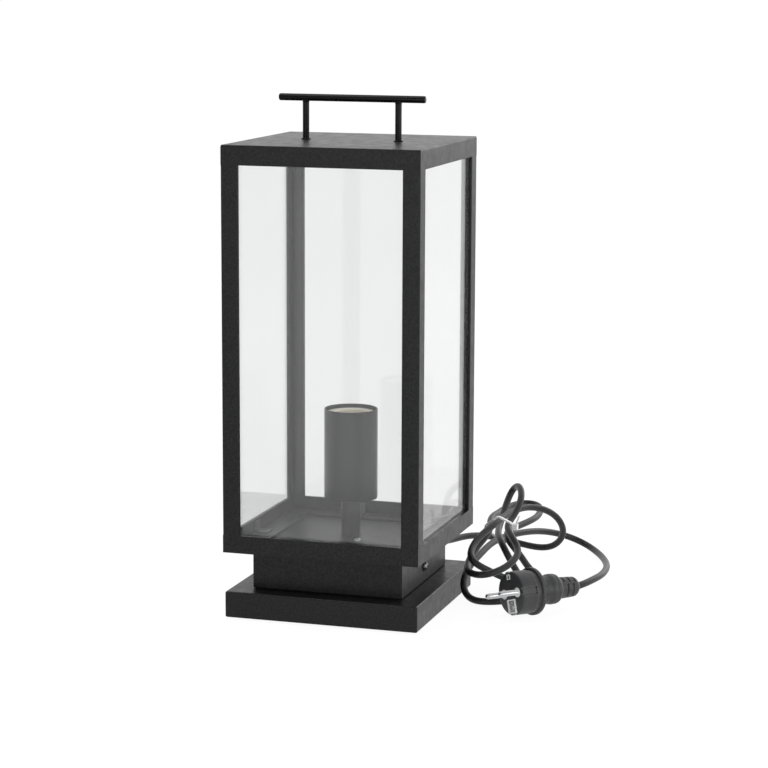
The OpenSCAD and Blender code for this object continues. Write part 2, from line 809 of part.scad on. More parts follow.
module plug_body() {
  r = plug_d / 2;
  rf = plug_flange_d / 2;
  barrel_r = 13;
  rib_r = 9.3;
  groove_r = 7.6;
  barrel_end = 46;
  rib_end = plug_l - 3;
  groove_w = 2;
  color("#2b2c2e") on_plug() difference() {
    rotate_extrude() polygon([
      [0, 0], [r - 1, 0], [r, 1], [r + 0.2, flange_from_face - flange_t / 2],
      [rf, flange_from_face - flange_t / 2 + 0.8], [rf, flange_from_face + flange_t / 2],
      [rf - 3, flange_from_face + flange_t], [barrel_r + 1, flange_from_face + 8],
      [barrel_r - 1, flange_from_face + 14], [barrel_r, barrel_end - 6],
      [barrel_r - 0.5, barrel_end], [rib_r + 1, barrel_end + 2], [rib_r, barrel_end + 4],
      [rib_r - 0.8, rib_end - 1], [relief_r + 1.5, rib_end + 2], [relief_r, plug_l], [0, plug_l]]);
    // Grooves of the strain relief
    for (at = [barrel_end + 6 : 6 : rib_end - 3])
      tube(rib_r + 2, groove_r, at, at + groove_w);
    // Guide grooves at both ends of the pin line
    for (side = [-1, 1]) translate([0, side * (r + guide_rise), guide_l / 2 - cut / 2])
      cube([guide_w, guide_depth, guide_l + cut], center = true);
    for (side = [-1, 1]) translate([0, side * pin_span / 2, -cut])
      cylinder(d = pin_d + 2 * run_gap, h = pin_root + cut, $fn = 48);
    for (side = [-1, 1]) translate([side * (r - strip_t / 2 + 0.5), 0, strip_l / 2 - cut / 2])
      cube([strip_t + 1 + 2 * run_gap, strip_w + 2 * run_gap, strip_l + cut + run_gap],
        center = true);
  }
}

module plug_pins() {
  tip = 1.2;
  color("#c9cbcd") on_plug() for (side = [-1, 1])
    translate([0, side * pin_span / 2, -pin_l]) {
      cylinder(d1 = pin_d - 2 * tip, d2 = pin_d, h = tip, $fn = 48);
      translate([0, 0, tip]) cylinder(d = pin_d, h = pin_l + pin_root - tip, $fn = 48);
    }
}

module plug_pin_collars() {
  color("#eceded") on_plug() for (side = [-1, 1]) translate([0, side * pin_span / 2, 0])
    tube(pin_d / 2 + 1.6, pin_d / 2 + run_gap, -0.8, 0);
}

module plug_earth_clips() {
  r = plug_d / 2;
  hole_r = 2.4;
  hole_at = 12;
  small = 4.5;
  color("#d3d5d6") on_plug() {
    difference() {
      translate([clip_from, -plug_clip_w / 2, -plug_clip_t])
        cube([clip_reach - clip_from, plug_clip_w, plug_clip_t]);
      translate([hole_at, 0, -plug_clip_t - cut])
        cylinder(r = hole_r, h = plug_clip_t + 2 * cut, $fn = 32);
    }
    translate([-clip_reach, -small / 2, -plug_clip_t]) cube([small, small, plug_clip_t]);
    for (side = [-1, 1])
      translate([side * (r - strip_t / 2) - strip_t / 2, -strip_w / 2, -plug_clip_t])
        cube([strip_t, strip_w, strip_l + plug_clip_t - run_gap]);
  }
}

base_shell();
ballast_weight();
base_cover();
base_feet();
base_screws();
guide_ring();
spigot_box();
spigot_screws();
stem_rod();
lamp_stem();
stem_nuts();
holder_cup();
lampholder_core();
thread_shell();
centre_contact();
terminal_screws();
lead_live();
lead_neutral();
lead_earth();
earth_screw();
cord_tail();
cord_clamp_base();
cord_clamp_bar();
clamp_screws();
cord_gland();
cord();
cable_tie();
plug_body();
plug_pins();
plug_pin_collars();
plug_earth_clips();
roof_plate();
top_frame();
bottom_frame();
post_front_left();
post_front_right();
post_back_left();
post_back_right();
floor_ledge();
neck_skirt();
neck_nuts();
glass_front();
glass_back();
glass_left();
glass_right();
glass_clips_low();
glass_clips_high();
handle_bar();
handle_post_left();
handle_post_right();
handle_washers();
handle_nuts();
neck_washer_left();
neck_washer_right();
neck_screw_left();
neck_screw_right();
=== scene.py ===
"""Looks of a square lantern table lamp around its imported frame.

Lengths are in metres, +Z is up and the lamp's front is towards -Y. Outlines are in millimetres.
"""

import json
import math

import bmesh
import bpy
from mathutils import Matrix, Vector


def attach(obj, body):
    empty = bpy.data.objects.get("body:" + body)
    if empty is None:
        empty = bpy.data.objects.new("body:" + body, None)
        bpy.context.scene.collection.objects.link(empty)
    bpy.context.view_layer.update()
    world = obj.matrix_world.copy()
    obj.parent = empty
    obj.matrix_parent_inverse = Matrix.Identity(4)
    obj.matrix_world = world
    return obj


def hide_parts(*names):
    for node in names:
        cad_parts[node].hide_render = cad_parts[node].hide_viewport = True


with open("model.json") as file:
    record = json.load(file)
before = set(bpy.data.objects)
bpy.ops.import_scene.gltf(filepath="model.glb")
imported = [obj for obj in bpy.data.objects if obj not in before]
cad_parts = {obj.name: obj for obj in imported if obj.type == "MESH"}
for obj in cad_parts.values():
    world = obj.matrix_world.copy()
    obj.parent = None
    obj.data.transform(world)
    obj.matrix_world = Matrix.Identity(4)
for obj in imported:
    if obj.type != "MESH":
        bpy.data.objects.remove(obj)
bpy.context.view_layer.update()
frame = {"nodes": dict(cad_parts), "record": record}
scene = bpy.context.scene
MM = 0.001

# ---- Camera, at the photograph's place ----
CAMERA_AT = (0.6465, -1.99025, 0.54686)
CAMERA_LENS = 117.22
CAMERA_SENSOR = 36
CAMERA_ANGLES = (17.24, 9.66, 0.23)  # azimuth, elevation and roll in degrees
cam_data = bpy.data.cameras.new("camera")
cam_data.lens = CAMERA_LENS
cam_data.sensor_width = CAMERA_SENSOR
cam_data.clip_start = 0.05
cam_data.clip_end = 100
camera = bpy.data.objects.new("camera", cam_data)
scene.collection.objects.link(camera)
azimuth, elevation, roll = (math.radians(angle) for angle in CAMERA_ANGLES)
flat = math.cos(elevation)
back = Vector((math.sin(azimuth) * flat, -math.cos(azimuth) * flat, math.sin(elevation)))
level = Vector((math.cos(azimuth), math.sin(azimuth), 0))
upright = back.cross(level)
right = level * math.cos(roll) + upright * math.sin(roll)
up = upright * math.cos(roll) - level * math.sin(roll)
turn = Matrix((right, up, back)).transposed().to_4x4()
camera.matrix_world = Matrix.Translation(CAMERA_AT) @ turn
scene.camera = camera

# ---- Material helpers ----


class Nodes:
    """A material with a Principled shader, and short calls for the nodes that feed it."""

    def __init__(self, name):
        self.mat = bpy.data.materials.new(name)
        self.mat.use_nodes = True
        self.tree = self.mat.node_tree
        self.bsdf = self.tree.nodes["Principled BSDF"]
        self.out = self.tree.nodes["Material Output"]
        self.place = self.add("ShaderNodeTexCoord").outputs["Object"]

    def add(self, kind, **values):
        node = self.tree.nodes.new(kind)
        for key, value in values.items():
            setattr(node, key, value)
        return node

    def link(self, a, b):
        self.tree.links.new(a, b)

    def noise(self, scale, detail=3.0, rough=0.5, stretch=None):
        node = self.add("ShaderNodeTexNoise")
        node.inputs["Scale"].default_value = scale
        node.inputs["Detail"].default_value = detail
        node.inputs["Roughness"].default_value = rough
        if stretch:
            mapping = self.add("ShaderNodeMapping")
            mapping.inputs["Scale"].default_value = stretch
            self.link(self.place, mapping.inputs["Vector"])
            self.link(mapping.outputs[0], node.inputs["Vector"])
        else:
            self.link(self.place, node.inputs["Vector"])
        return node.outputs["Fac"]

    def spread(self, fac, low, high, to_low, to_high):
        node = self.add("ShaderNodeMapRange")
        for key, value in zip(("From Min", "From Max", "To Min", "To Max"), (low, high, to_low, to_high)):
            node.inputs[key].default_value = value
        self.link(fac, node.inputs["Value"])
        return node.outputs[0]

    def ramp(self, fac, stops):
        node = self.add("ShaderNodeValToRGB")
        while len(node.color_ramp.elements) < len(stops):
            node.color_ramp.elements.new(0.5)
        for element, (at, colour) in zip(node.color_ramp.elements, stops):
            element.position = at
            element.color = (*colour, 1)
        self.link(fac, node.inputs[0])
        return node.outputs[0]

    def bump(self, height, strength, distance, under=None):
        node = self.add("ShaderNodeBump")
        node.inputs["Strength"].default_value = strength
        node.inputs["Distance"].default_value = distance
        self.link(height, node.inputs["Height"])
        if under is not None:
            self.link(under, node.inputs["Normal"])
        return node.outputs[0]

    def set(self, **values):
        for key, value in values.items():
            self.bsdf.inputs[key.replace("_", " ")].default_value = value

    def feed(self, **sockets):
        for key, value in sockets.items():
            self.link(value, self.bsdf.inputs[key.replace("_", " ")])


def powder_coat(name, dark, light, rough=(0.32, 0.42), grain_depth=0.35, gloss=0.2):
    """Fine-grained black powder coat: pebbled at about a millimetre, with a faint cloudiness."""
    m = Nodes(name)
    grain = m.noise(620, 3.0, 0.7)
    cloud = m.noise(120, 3.0, 0.55)
    m.feed(Base_Color=m.ramp(grain, [(0.38, dark), (0.62, light)]))
    m.feed(Roughness=m.spread(cloud, 0.3, 0.7, *rough))
    m.feed(Normal=m.bump(grain, grain_depth, 0.0003, m.bump(cloud, 0.03, 0.0006)))
    m.set(Specular_IOR_Level=gloss)
    return m.mat


def steel(name, colour, rough=0.32, brushed=(1, 1, 18)):
    """Bare or plated metal with fine drawn lines along one axis."""
    m = Nodes(name)
    lines = m.noise(600, 4.0, 0.6, brushed)
    m.feed(Base_Color=m.ramp(lines, [(0.25, [c * 0.8 for c in colour]), (0.75, colour)]))
    m.feed(Roughness=m.spread(lines, 0.3, 0.7, rough - 0.08, rough + 0.1))
    m.feed(Normal=m.bump(lines, 0.1, 0.0001))
    m.set(Metallic=1.0)
    return m.mat


def plastic(name, dark, light, rough=(0.38, 0.52), grain=1800, depth=0.1, specular=0.5):
    """Moulded plastic, rubber or glazed ceramic: a fine grain over a faint cloudiness."""
    m = Nodes(name)
    fine = m.noise(grain, 2.0, 0.5)
    cloud = m.noise(140, 3.0, 0.5)
    m.feed(Base_Color=m.ramp(cloud, [(0.3, dark), (0.7, light)]))
    m.feed(Roughness=m.spread(fine, 0.3, 0.7, *rough))
    m.feed(Normal=m.bump(fine, depth, 0.0001))
    m.set(Specular_IOR_Level=specular)
    return m.mat


def clear_glass(name):
    """Clear float glass with a slight grey cast and a film of dust.

    It lets the lamps through to what it covers.
    """
    m = Nodes(name)
    cast = m.noise(9, 1.0, 0.4)
    m.feed(Base_Color=m.ramp(cast, [(0.3, (0.905, 0.908, 0.908)), (0.7, (0.92, 0.923, 0.923))]))
    m.set(Roughness=0.0, Transmission_Weight=0.985, IOR=1.5)
    path = m.add("ShaderNodeLightPath")
    both = m.add("ShaderNodeMath", operation="MAXIMUM")
    m.link(path.outputs["Is Shadow Ray"], both.inputs[0])
    m.link(path.outputs["Is Diffuse Ray"], both.inputs[1])
    through = m.add("ShaderNodeBsdfTransparent")
    through.inputs[0].default_value = (0.92, 0.93, 0.925, 1)
    mix = m.add("ShaderNodeMixShader")
    m.link(both.outputs[0], mix.inputs[0])
    m.link(m.bsdf.outputs[0], mix.inputs[1])
    m.link(through.outputs[0], mix.inputs[2])
    m.link(mix.outputs[0], m.out.inputs["Surface"])
    return m.mat


COAT = powder_coat("powder_coat", (0.004, 0.0041, 0.0044), (0.0135, 0.0138, 0.0146))
# A lighter copy of the black coat, with a finer grain, for the pieces inside the lantern: its lighter
# colour is painted light that stands in for the light inside the lantern.
COAT_FINE_PAINTED_LIGHT = powder_coat(
    "powder_coat_fine_painted_light", (0.014, 0.0142, 0.0148), (0.022, 0.0224, 0.0233), (0.34, 0.44), 0.1)
COAT_SLEEVE = powder_coat(
    "powder_coat_sleeve", (0.008, 0.0082, 0.0086), (0.013, 0.0132, 0.0138), (0.3, 0.36), 0.04, 0.4)
COAT_BAR = powder_coat(
    "powder_coat_handle", (0.002, 0.002, 0.0022), (0.006, 0.006, 0.0063), (0.28, 0.36), 0.1, 0.14)
BLACKED = steel("blackened_steel", (0.16, 0.16, 0.165), 0.34)
ZINC = steel("zinc_steel", (0.62, 0.63, 0.65), 0.3)
RAW = steel("raw_steel", (0.36, 0.36, 0.37), 0.45)
CLIP = steel("clip_steel", (0.15, 0.155, 0.16), 0.5)
BRASS = steel("brass", (0.72, 0.53, 0.24), 0.28, (1, 1, 1))
TINNED = steel("tinned_steel", (0.26, 0.26, 0.265), 0.42, (0.5, 0.5, 2))
NICKEL = steel("nickel", (0.5, 0.5, 0.51), 0.27, (0.4, 0.4, 3))
GLASS = clear_glass("clear_glass")
CERAMIC = plastic("ceramic", (0.94, 0.88, 0.77), (0.98, 0.93, 0.84), (0.16, 0.26), 900, 0.04)
RUBBER = plastic(
    "cord_rubber", (0.01, 0.0102, 0.0106), (0.016, 0.0163, 0.017), (0.36, 0.48), 1300, 0.14, 0.25)
PADS = plastic("foot_rubber", (0.018, 0.018, 0.018), (0.03, 0.03, 0.03), (0.6, 0.75), 1500, 0.3)
PLUG = plastic(
    "plug_plastic", (0.03, 0.0304, 0.0318), (0.042, 0.0425, 0.0445), (0.4, 0.52), 2000, 0.14, 0.3)
PALE = plastic("pale_plastic", (0.66, 0.67, 0.67), (0.8, 0.81, 0.81), (0.25, 0.38), 1500, 0.05)
BROWN = plastic("brown_insulation", (0.16, 0.06, 0.02), (0.22, 0.09, 0.035), (0.25, 0.35))
BLUE = plastic("blue_insulation", (0.02, 0.08, 0.3), (0.035, 0.12, 0.4), (0.25, 0.35))
GREEN = plastic("green_insulation", (0.15, 0.32, 0.04), (0.5, 0.5, 0.05), (0.25, 0.35))
SLOT_MATERIALS = {
    "black_powder_coat": COAT, "raw_steel": RAW, "foot_rubber": PADS, "zinc_steel": ZINC,
    "blackened_steel": BLACKED, "brass": BRASS, "ceramic": CERAMIC, "brown_insulation": BROWN,
    "blue_insulation": BLUE, "green_insulation": GREEN, "cord_rubber": RUBBER, "pale_plastic": PALE,
    "plug_plastic": PLUG, "nickel": NICKEL, "glass": GLASS,
}
NODE_SLOT = {part["node"]: part["material_slot"] for part in frame["record"]["subparts"]}
BODIES = frame["record"]["behaviour"]["bodies"]
BODY = {node: body for body, members in BODIES.items() for node in members}


def dress(piece, material):
    piece.data.materials.clear()
    piece.data.materials.append(material)


for node_name, node_object in frame["nodes"].items():
    dress(node_object, SLOT_MATERIALS[NODE_SLOT[node_name]])
for node_name in ("glass_clips_low", "glass_clips_high"):
    dress(frame["nodes"][node_name], CLIP)
# The pieces inside the lantern get the lighter copy of the coat, as painted light.
for node_name in ("floor_ledge", "spigot_box", "guide_ring"):
    dress(frame["nodes"][node_name], COAT_FINE_PAINTED_LIGHT)

# ---- Piece helpers ----


def stand_for(piece, material, node):
    """Makes a linked piece stand for a CAD node, riding on the node's body."""
    dress(piece, material)
    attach(piece, BODY[node])
    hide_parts(node)


def put(piece, material, node):
    """Adds a piece that stands for a CAD node."""
    scene.collection.objects.link(piece)
    stand_for(piece, material, node)
    return piece


def as_piece(name, bm, sharp=32, weighted=False):
    """Makes an object of bm, smooth but for edges over the angle sharp; 0 keeps every edge smooth."""
    mesh = bpy.data.meshes.new(name)
    bmesh.ops.recalc_face_normals(bm, faces=bm.faces)
    bm.to_mesh(mesh)
    bm.free()
    if "custom_normal" in mesh.attributes:
        mesh.attributes.remove(mesh.attributes["custom_normal"])
    mesh.shade_smooth()
    if sharp:
        mesh.set_sharp_from_angle(angle=math.radians(sharp))
    piece = bpy.data.objects.new(name, mesh)
    if weighted:
        modifier = piece.modifiers.new("weighted", "WEIGHTED_NORMAL")
        modifier.keep_sharp = True
        modifier.weight = 100
    return piece


def rounded(node, width, cuts=(), skip=None, segments=3):
    """A copy of a CAD node with its corners rounded, apart from the edges that skip names.

    Each of cuts is a plane, given by a point and a normal, that splits the faces it crosses.
    """
    bm = bmesh.new()
    bm.from_mesh(frame["nodes"][node].data)
    bmesh.ops.remove_doubles(bm, verts=bm.verts, dist=1e-6)
    bmesh.ops.dissolve_limit(bm, angle_limit=math.radians(1), verts=bm.verts, edges=bm.edges)
    for point, normal in cuts:
        whole = bm.verts[:] + bm.edges[:] + bm.faces[:]
        bmesh.ops.bisect_plane(bm, geom=whole, plane_co=point, plane_no=normal)
    corners = []
    for edge in bm.edges:
        if len(edge.link_faces) != 2 or edge.calc_face_angle(0) < math.radians(40):
            continue
        middle = (edge.verts[0].co + edge.verts[1].co) / 2
        if skip and skip(middle):
            continue
        corners.append(edge)
    bmesh.ops.bevel(
        bm, geom=corners, offset=width, segments=segments, profile=0.5, affect="EDGES",
        clamp_overlap=True)
    piece = as_piece(node + "_rounded", bm, 60, weighted=True)
    return put(piece, frame["nodes"][node].data.materials[0], node)


def lathe(bm, profile, segments=72, matrix=None):
    """Turns a profile of (radius, height) pairs in millimetres round Z into bm, closed at radius 0."""
    rings = []
    for radius, height in profile:
        if radius == 0:
            rings.append([bm.verts.new((0, 0, height * MM))])
        else:
            rings.append([
                bm.verts.new((radius * MM * math.cos(a), radius * MM * math.sin(a), height * MM))
                for a in (2 * math.pi * k / segments for k in range(segments))])
    for low, high in zip(rings, rings[1:]):
        for k in range(segments):
            n = (k + 1) % segments
            if len(low) == 1:
                bm.faces.new((low[0], high[k], high[n]))
            elif len(high) == 1:
                bm.faces.new((low[k], low[n], high[0]))
            else:
                bm.faces.new((low[k], low[n], high[n], high[k]))
    if matrix is not None:
        bmesh.ops.transform(bm, matrix=matrix, verts=[v for ring in rings for v in ring])
    return rings


def close_rings(bm, rings):
    """Joins the last ring of a turned profile to its first, as on a tube."""
    low, high = rings[-1], rings[0]
    count = len(low)
    for k in range(count):
        n = (k + 1) % count
        bm.faces.new((low[k], low[n], high[n], high[k]))


def turned(name, profile, material, node, matrix=None, segments=96, closed=False):
    """A turned piece that stands for a CAD node."""
    bm = bmesh.new()
    rings = lathe(bm, profile, segments, matrix)
    if closed:
        close_rings(bm, rings)
    return put(as_piece(name, bm), material, node)


def box_mesh(bm, low, high, matrix=None):
    """Adds a box between two corners, in millimetres, to bm."""
    low, high = Vector(low) * MM, Vector(high) * MM
    made = bmesh.ops.create_cube(bm, size=1)["verts"]
    scale = Matrix.Diagonal((*(high - low), 1))
    whole = Matrix.Translation((low + high) / 2) @ scale
    bmesh.ops.transform(bm, matrix=(matrix or Matrix()) @ whole, verts=made)


def cut_away(piece, cutters):
    """Takes closed cutter meshes out of a piece, and applies the result."""
    for bm in cutters:
        mesh = bpy.data.meshes.new("cutter")
        bmesh.ops.recalc_face_normals(bm, faces=bm.faces)
        bm.to_mesh(mesh)
        bm.free()
        cutter = bpy.data.objects.new("cutter", mesh)
        scene.collection.objects.link(cutter)
        modifier = piece.modifiers.new("cut", "BOOLEAN")
        modifier.operation = "DIFFERENCE"
        modifier.solver = "EXACT"
        modifier.object = cutter
        bpy.context.view_layer.update()
        graph = bpy.context.evaluated_depsgraph_get()
        made = bpy.data.meshes.new_from_object(piece.evaluated_get(graph))
        piece.modifiers.remove(modifier)
        piece.data = made
        bpy.data.objects.remove(cutter)
    piece.data.shade_smooth()
    piece.data.set_sharp_from_angle(angle=math.radians(28))


# ---- The cord: its route is the CAD's, on the same smooth curve ----
ROUTE = [
    (36, 90, 37), (36, 98, 37), (39, 120, 32), (43, 147, 23), (52, 182, 23), (71, 212, 17),
    (99, 226, 6), (125, 223, 5), (141, 212, 25), (133, 194, 48), (115, 172, 57), (107, 144, 58),
    (104, 120, 57), (103, 98, 56), (95, 76, 50), (91, 55, 42), (96, 35, 35), (113, 47, 24),
    (132, 60, 12), (147, 76, 9), (149, 98, 5), (131, 106, 14), (125, 98, 29), (115, 94, 41),
    (108, 110, 46), (112, 137, 45), (120, 162, 46), (120, 190, 45), (116, 213, 49), (98, 216, 50),
    (88, 190, 50), (89, 160, 51), (89, 138, 53), (92, 116, 53), (98, 98, 48), (91, 80, 39),
    (88, 60, 30), (92, 36, 25), (110, 25, 25), (126, 44, 29), (132, 74, 36), (121, 87, 46),
    (109, 104, 52), (114, 122, 59), (116, 141, 72), (107, 163, 79), (97, 172, 70), (96, 151, 55),
    (98, 128, 46), (102, 105, 45), (112, 82, 42), (121, 78, 28), (129, 86, 10), (138, 76, 3),
    (138, 54, 3), (130, 34, 3), (112, 24, 3), (97, 29, 3), (88, 38, 12), (88, 57, 24),
    (91, 90, 29), (92, 120, 32), (97, 150, 32), (108, 182, 30), (117, 212, 25), (131, 238, 17),
    (150, 246, 8), (167, 228, 4), (180, 198, 5), (190, 160, 9), (197, 121, 15), (200, 91, 18),
    (198, 72, 19), (193, 52, 18.8), (189, 44.6, 18.5),
]
CORD_D = 0.006


def smooth(points, steps):
    """The cubic curve that the CAD's cord draws along the same points."""
    p = [Vector(q) for q in points]
    q = [2 * p[0] - p[1], *p, 2 * p[-1] - p[-2]]
    made = []
    for i in range(len(p) - 1):
        a, b, c, d = q[i:i + 4]
        for k in range(steps):
            t = k / steps
            near = a * (1 - t) ** 3 + b * (3 * t ** 3 - 6 * t * t + 4)
            made.append((near + c * (-3 * t ** 3 + 3 * t * t + 3 * t + 1) + d * t ** 3) / 6)
    return [*made, p[-1]]


def curve_piece(name, points, radius):
    """A round cord along points in millimetres, as one open spline."""
    curve = bpy.data.curves.new(name, "CURVE")
    curve.dimensions = "3D"
    spline = curve.splines.new("POLY")
    spline.points.add(len(points) - 1)
    for point, place in zip(spline.points, points):
        point.co = (*(place * MM), 1)
    curve.bevel_depth = radius
    curve.bevel_resolution = 6
    curve.use_fill_caps = True
    spline.use_smooth = True
    return bpy.data.objects.new(name, curve)


cord = put(curve_piece("mains_cord", smooth(ROUTE, 8), CORD_D / 2), RUBBER, "cord")

# ---- Strain relief at the neck: a ribbed, tapered nozzle ----
gland_at = Matrix.Translation((0.036, 0.0605, 0.037)) @ Matrix.Rotation(math.radians(-90), 4, "X")
gland_profile = [
    (0, -3.5), (6.2, -3.5), (6.3, -3.2), (6.3, -1.6), (5, -1.5), (5, 0), (6.6, 0), (6.8, 0.3),
    (6.8, 1.6), (6.4, 2), (5.2, 2.2)]
for step in range(6):
    base = 6.4 + step * 3.6
    radius = 5.2 - 0.2 * step
    gland_profile += [
        (radius, base), (radius - 0.1, base + 2.2), (radius - 0.9, base + 2.5), (radius - 0.9, base + 3.2)]
gland_profile += [(4.1, 28.4), (3.8, 29.2), (3.4, 29.5), (0, 29.5)]
gland = turned("cord_relief", gland_profile, RUBBER, "cord_gland", gland_at, 48)

# ---- Plug ----
PLUG_AT = (144 * MM, -9 * MM, (20.3 + 0.2 + 21 * math.sin(math.radians(2.3))) * MM)
plug_turn = (
    Matrix.Translation(PLUG_AT) @ Matrix.Rotation(math.radians(50), 4, "Z")
    @ Matrix.Rotation(math.radians(92.3), 4, "Y") @ Matrix.Rotation(math.radians(-18), 4, "Z"))
body_profile = [
    (0, 0), (16.9, 0), (17.6, 0.15), (18.15, 0.5), (18.4, 1.1), (18.5, 2), (18.55, 15.2),
    (18.3, 15.6), (17.7, 16), (17.7, 19.3), (19.6, 19.4), (20.1, 19.7), (20.3, 20.2), (20.3, 22.4),
    (20.1, 22.9), (19.5, 23.3), (16.2, 24.1), (13.2, 25.6), (12.3, 27.4), (11.9, 30), (11.9, 35),
    (12.3, 36.4), (12.8, 37.6), (13, 39.2), (13, 41.2), (12.8, 41.6), (12.5, 41.7), (12.5, 41.95),
    (12.8, 42.05), (12.9, 43.4), (12.4, 45.2), (11.2, 46.6), (10.2, 47.3), (9.5, 47.7), (9.3, 48.4),
    (8.6, 63.6), (8.3, 65), (7.5, 66.4), (6.4, 67.5), (5.4, 68.3), (4.6, 68.9), (4.2, 69.6),
    (4.1, 70), (0, 70)]
PIN_AT = 9.5  # each pin's distance from the plug's axis, in millimetres
plug_bm = bmesh.new()
lathe(plug_bm, body_profile, 120)
plug = as_piece("plug_moulding", plug_bm, 28)
scene.collection.objects.link(plug)

# Two guide grooves with stepped edges, the beds of the earth contacts and a hole for each pin
cutters = []
for side in (-1, 1):
    groove = bmesh.new()
    box_mesh(groove, (-2.6, side * 19 - 1.6, -2), (2.6, side * 19 + 1.6, 14.2))
    cutters.append(groove)
    for edge_x in (-2.6, 2.6):
        line = bmesh.new()
        box_mesh(line, (edge_x - 0.55, side * 18 - 2.4, -2), (edge_x + 0.55, side * 18 + 2.4, 14.8))
        cutters.append(line)
    strip = bmesh.new()
    box_mesh(strip, (side * 18.6 - 1.35, -2.6, -2), (side * 18.6 + 1.35, 2.6, 13.05))
    cutters.append(strip)
    hole = bmesh.new()
    pin_place = Matrix.Translation((0, side * PIN_AT * MM, 0))
    lathe(hole, [(0, -2), (2.45, -2), (2.45, 7.5), (0, 7.5)], 40, pin_place)
    cutters.append(hole)


def arc_cutter(r_in, r_out, low, high, middle, span, steps=18):
    """A slot cutter: a bent bar over part of a turn."""
    bm = bmesh.new()
    rows = []
    for k in range(steps + 1):
        a = math.radians(middle - span / 2 + span * k / steps)
        rows.append([bm.verts.new((r * MM * math.cos(a), r * MM * math.sin(a), z * MM))
                     for r, z in ((r_in, low), (r_out, low), (r_out, high), (r_in, high))])
    for a, b in zip(rows, rows[1:]):
        for k in range(4):
            n = (k + 1) % 4
            bm.faces.new((a[k], a[n], b[n], b[k]))
    bm.faces.new(rows[0])
    bm.faces.new(list(reversed(rows[-1])))
    return bm


NECK_SLOTS = {0: (50.2, 56.4, 62.2), 90: (53.2, 59.2), 180: (50.2, 56.4, 62.2), 270: (53.2, 59.2)}
for middle, heights in NECK_SLOTS.items():
    for low in heights:
        cutters.append(arc_cutter(6.2, 12, low, low + 1.7, middle + 22, 84))
for around in (-100, -68):
    dot = bmesh.new()
    spot = (
        Matrix.Rotation(math.radians(around), 4, "Z") @ Matrix.Translation((11.6 * MM, 0, 29 * MM))
        @ Matrix.Rotation(math.radians(90), 4, "Y"))
    lathe(dot, [(0, -1.6), (0.9, -1.6), (0.9, 2), (0, 2)], 20, spot)
    cutters.append(dot)
cut_away(plug, cutters)
plug.data.transform(plug_turn)
stand_for(plug, PLUG, "plug_body")

pin_profile = [
    (0, -19), (0.9, -18.95), (1.5, -18.7), (1.95, -18.2), (2.15, -17.6), (2.2, -17), (2.4, -16.6),
    (2.4, 7), (0, 7)]
pins_bm = bmesh.new()
for side in (-1, 1):
    lathe(pins_bm, pin_profile, 40, plug_turn @ Matrix.Translation((0, side * PIN_AT * MM, 0)))
pins = put(as_piece("plug_pins_turned", pins_bm, 40), NICKEL, "plug_pins")

collar = [(2.46, -0.4), (2.6, -0.7), (3.1, -0.8), (3.7, -0.75), (4, -0.4), (4, 0.02), (2.46, 0.02)]
# Corners of the eight bars that make the two pale frames on the plug's face
FACE_BARS = [
    ((-16, -2.1, -0.7), (-15.3, 2.1, 0.02)),
    ((-12.3, -2.1, -0.7), (-11.6, 2.1, 0.02)),
    ((-15.3, -2.1, -0.7), (-12.3, -1.4, 0.02)),
    ((-15.3, 1.4, -0.7), (-12.3, 2.1, 0.02)),
    ((5, -5.4, -1.2), (17, -4.1, -0.2)),
    ((5, 4.1, -1.2), (17, 5.4, -0.2)),
    ((15.8, -4.1, -1.2), (17, 4.1, -0.2)),
    ((5, -4.1, -1.2), (6.1, 4.1, -0.2)),
]
collar_bm = bmesh.new()
for side in (-1, 1):
    pin_place = plug_turn @ Matrix.Translation((0, side * PIN_AT * MM, 0))
    close_rings(collar_bm, lathe(collar_bm, collar, 48, pin_place))
for low, high in FACE_BARS:
    box_mesh(collar_bm, low, high, plug_turn)
collars = put(as_piece("plug_collars", collar_bm, 50), PALE, "plug_pin_collars")

# Corners of the earth plate on the plug's face and of the two contacts on its sides
EARTH_PARTS = [
    ((5, -5.4, -0.2), (17, 5.4, -0.02)),
    ((17.35, -2.5, -0.8), (18.45, 2.5, 12.9)),
    ((-18.45, -2.5, -0.8), (-17.75, 2.5, 12.9)),
]
clip_bm = bmesh.new()
for low, high in EARTH_PARTS:
    box_mesh(clip_bm, low, high)
bmesh.ops.bevel(clip_bm, geom=clip_bm.edges[:], offset=0.00018, segments=2, affect="EDGES", profile=0.5)
clips = as_piece("plug_earth", clip_bm, 40)
scene.collection.objects.link(clips)
holes = []
for at, radius in ((12.2, 2.1), (8, 1)):
    hole = bmesh.new()
    hole_place = Matrix.Translation((at * MM, 0, 0))
    lathe(hole, [(0, -1.6), (radius, -1.6), (radius, 0.4), (0, 0.4)], 32, hole_place)
    holes.append(hole)
cut_away(clips, holes)
clips.data.transform(plug_turn)
stand_for(clips, TINNED, "plug_earth_clips")

tie = rounded("cable_tie", 0.00025, segments=2)
# The photograph's panes show no mirror image of the bunch, so it is kept out of reflections.
for loose in (cord, tie, plug, pins, collars, clips):
    loose.visible_glossy = False

# ---- Lantern frame: one welded and coated frame, so its joints show no seam ----
FLANGE = 0.07  # the frame's flanges end this far from the axis
WALL = 0.0815  # points further out than this lie on the frame's outer wall
SAME = 1e-5  # heights closer than this count as one
TURN = 0.0012  # a bevel that ends at a weld turns out within this length
EDGE = 0.0009  # rounding of the frame's outer edges
TOP_SEAM, LOW_SEAM, ROOF_SEAM = 0.3805, 0.072, 0.3955
FRAME_CUTS = [
    (tuple(s * at * d for d in axis), axis)
    for s in (-1, 1) for at in (FLANGE, FLANGE + TURN) for axis in ((1, 0, 0), (0, 1, 0))]


def reach(p):
    """The larger of a point's distances from the axis along X and along Y."""
    return max(abs(p.x), abs(p.y))


def on_level(p, height):
    return abs(p.z - height) < SAME


